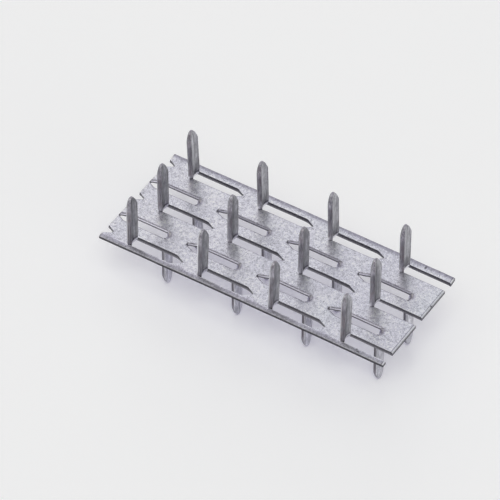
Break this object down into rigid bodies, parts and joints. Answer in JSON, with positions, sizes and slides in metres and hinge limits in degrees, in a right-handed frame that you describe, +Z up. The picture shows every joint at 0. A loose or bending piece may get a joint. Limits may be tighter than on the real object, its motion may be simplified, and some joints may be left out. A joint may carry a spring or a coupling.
{
  "type": "truss nail plate",
  "caption": "Double-sided nail plate of galvanised sheet steel: a slotted strip with pointed channel-section teeth bent up and down out of its slots, pressed between timbers to join them.",
  "frame": {"origin": "under the middle of the plate, on the plane of the downward points", "axes": "+X along the plate, from the end with the pointed notches to the end with the open slots; +Y across it, from the narrow margin to the wide one; +Z up, along the teeth"},
  "size_m": [0.08, 0.0336, 0.0303],
  "materials": {
    "galvanised_steel": "zinc-coated sheet with a fine spangle, semi-gloss, darker on the sheared tooth faces"
  },
  "bodies": {
    "root": {"nail_plate": "galvanised_steel"}
  },
  "joints": []
}
